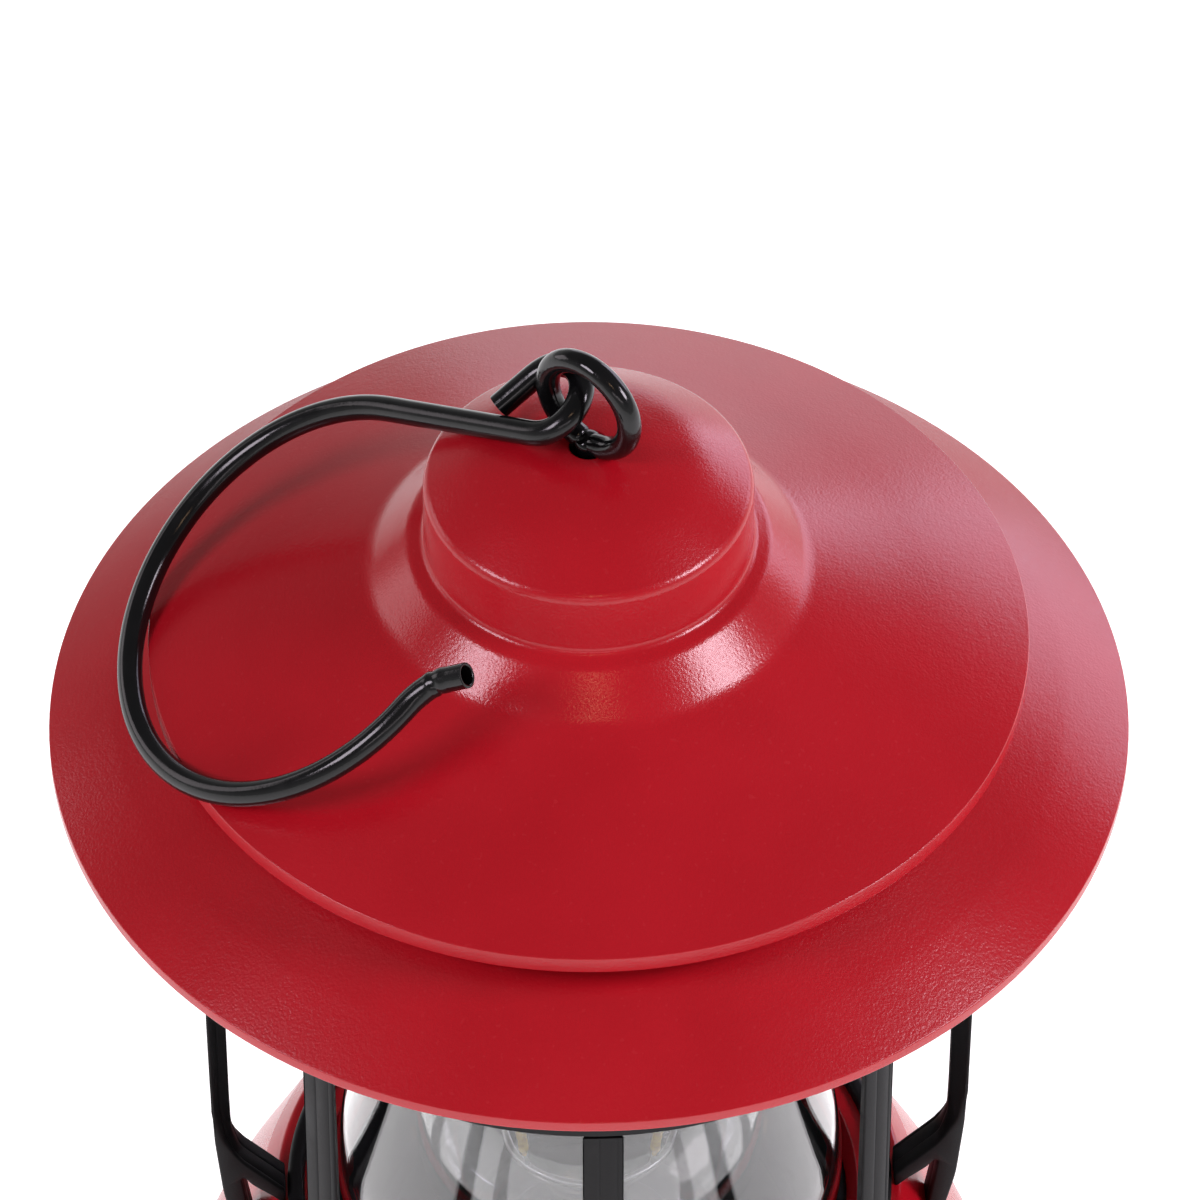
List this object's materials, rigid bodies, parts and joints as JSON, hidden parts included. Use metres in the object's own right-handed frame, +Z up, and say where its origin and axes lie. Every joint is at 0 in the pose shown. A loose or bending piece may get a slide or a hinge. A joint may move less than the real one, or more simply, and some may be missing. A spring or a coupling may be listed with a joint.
{
  "type": "battery lantern",
  "caption": "Battery lantern styled like an oil lamp: tiered roof with hook and eye, post cage, clear globe, filament bulb and bell base.",
  "frame": {"origin": "centre of the lantern underside, on the plane it stands on", "axes": "+Z up the lantern axis, -Y the front with the dimmer knob, +X to the right seen from the front"},
  "size_m": [0.19, 0.19, 0.3165],
  "materials": {
    "red_paint": "satin powder coat with a fine orange-peel texture",
    "black_wire": "gloss black enamel on bent wire",
    "black_vinyl": "glossy black vinyl sleeve",
    "black_plastic": "moulded, fine matte texture",
    "steel": "plain plated steel",
    "clear_glass": "clear blown glass",
    "black_rubber": "soft moulded rubber",
    "brass": "plated screw shell",
    "light_strip": "yellow phosphor coating on a light-emitting strip, unlit",
    "board": "green solder mask",
    "cell_jacket": "printed jacket, left plain"
  },
  "bodies": {
    "lantern": {"roof_cap": "red_paint", "brim": "red_paint", "eye_bush": "black_plastic", "cage_top_ring": "black_plastic", "cage_hoop": "black_plastic", "globe": "clear_glass", "globe_gasket": "black_rubber", "globe_seat": "black_plastic", "bulb_glass": "clear_glass", "bulb_stem": "clear_glass", "bulb_cap": "brass", "strip_crown": "steel", "strip_ring": "steel", "lamp_holder": "black_plastic", "base_shell": "red_paint", "floor_pan": "black_plastic", "foot_ring": "black_rubber", "deck_plate": "black_plastic", "battery_holder": "black_plastic", "dimmer_body": "steel", "driver_board": "board", "roof_spacer_1": "black_plastic", "roof_screw_1": "steel", "pan_boss_1": "black_plastic", "pan_screw_1": "steel", "roof_spacer_2": "black_plastic", "roof_screw_2": "steel", "pan_boss_2": "black_plastic", "pan_screw_2": "steel", "roof_spacer_3": "black_plastic", "roof_screw_3": "steel", "pan_boss_3": "black_plastic", "pan_screw_3": "steel", "cage_post_1": "black_plastic", "cage_post_2": "black_plastic", "cage_post_3": "black_plastic", "cage_post_4": "black_plastic", "cage_post_5": "black_plastic", "cage_post_6": "black_plastic", "cage_post_7": "black_plastic", "cage_post_8": "black_plastic", "light_strip_1": "light_strip", "cell_1": "cell_jacket", "light_strip_2": "light_strip", "cell_2": "cell_jacket", "light_strip_3": "light_strip", "cell_3": "cell_jacket", "light_strip_4": "light_strip", "cell_4": "cell_jacket"},
    "eye": {"eye_bolt": "black_wire", "eye_nut": "steel"},
    "hook": {"hook_sleeve": "black_vinyl", "hook_wire": "steel"},
    "knob": {"dimmer_knob": "black_plastic", "dimmer_shaft": "steel"},
    "cover": {"battery_cover": "black_plastic", "cell_contact_1": "steel", "cell_contact_2": "steel"}
  },
  "joints": [
    {"name": "eye_swivel", "type": "hinge", "parent": "lantern", "child": "eye", "pos_m": [0, 0, 0.29], "axis": [0, 0, 1], "continuous": true},
    {"name": "hook_swing", "type": "hinge", "parent": "eye", "child": "hook", "pos_m": [-0.00235, 0.0004, 0.30711], "axis": [0.1114, 0.9901, -0.0853], "range_deg": [0, 120]},
    {"name": "dimmer_knob_turn", "type": "hinge", "parent": "lantern", "child": "knob", "pos_m": [0, -0.085, 0.03], "axis": [0, 1, 0], "range_deg": [0, 270]},
    {"name": "battery_cover_turn", "type": "hinge", "parent": "lantern", "child": "cover", "pos_m": [0, 0, 0.005], "axis": [0, 0, 1], "range_deg": [0, 25]}
  ]
}
